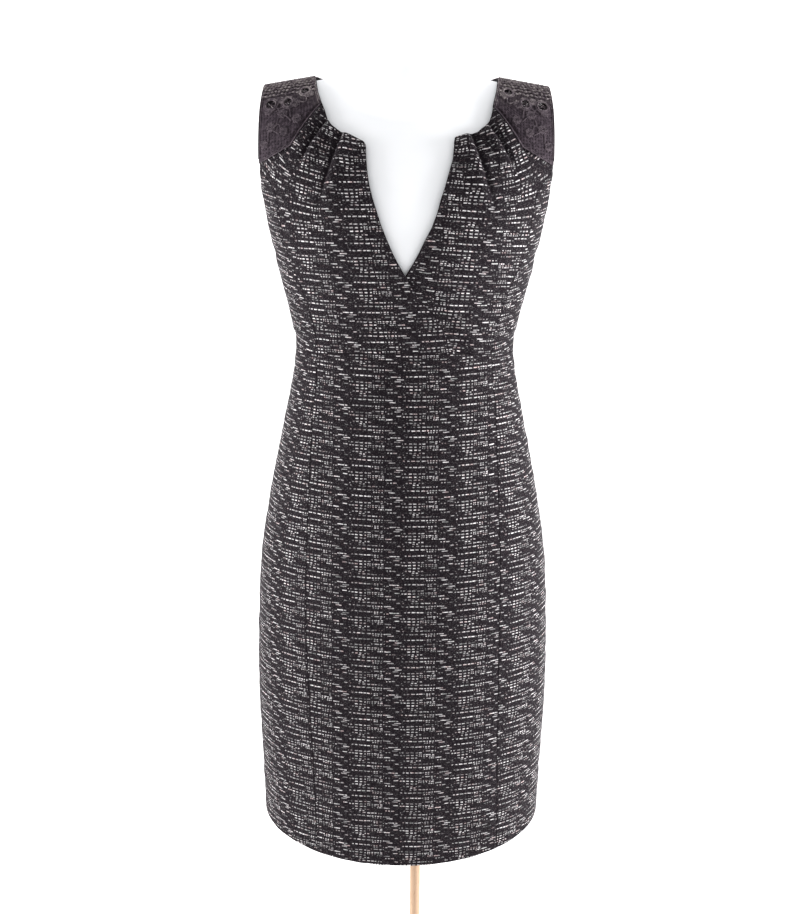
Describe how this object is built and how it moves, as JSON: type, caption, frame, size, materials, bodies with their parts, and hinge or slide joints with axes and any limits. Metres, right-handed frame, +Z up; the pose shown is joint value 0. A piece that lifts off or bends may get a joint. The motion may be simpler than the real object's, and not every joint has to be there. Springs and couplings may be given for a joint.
{
  "type": "sheath dress on a dress form",
  "caption": "Sleeveless knee-length sheath dress with a crossed V front, pleated scoop neckline and lace shoulder yokes, worn by a limbless dress form on a turned wooden stand.",
  "frame": {"origin": "on the floor, at the middle of the stand's round base, under the pole's axis", "axes": "+Z up, the front of the dress faces -Y, +X to the viewer's right; the dress and the form stand 20 mm to the left of the pole, as pictured"},
  "size_m": [0.43, 0.43, 1.478],
  "materials": {
    "dark_tweed": "matt jacquard tweed, charcoal with small off-white dashes",
    "dark_lace": "matt corded lace",
    "zip_tape": "matt woven tape",
    "zip_metal": "dark satin",
    "form_cover": "smooth white jersey over a hard body",
    "beech": "clear matt varnish"
  },
  "bodies": {
    "root": {"bodice_front_over": "dark_tweed", "bodice_front_under": "dark_tweed", "bodice_side_front_left": "dark_tweed", "bodice_side_front_right": "dark_tweed", "bodice_back_left": "dark_tweed", "bodice_back_right": "dark_tweed", "lace_yoke_left": "dark_lace", "lace_yoke_right": "dark_lace", "skirt_front": "dark_tweed", "skirt_side_front_left": "dark_tweed", "skirt_side_front_right": "dark_tweed", "skirt_back_left": "dark_tweed", "skirt_back_right": "dark_tweed", "zip_tape": "zip_tape", "zip_slider": "zip_metal", "form_torso": "form_cover", "form_pole": "beech", "form_collar": "beech", "form_base": "beech"},
    "zip_pull": {"zip_pull": "zip_metal"}
  },
  "joints": [
    {"name": "zip_pull_hinge", "type": "hinge", "parent": "root", "child": "zip_pull", "pos_m": [-0.02, 0.10375, 1.36442], "axis": [1, 0, 0], "range_deg": [0, 150]}
  ]
}
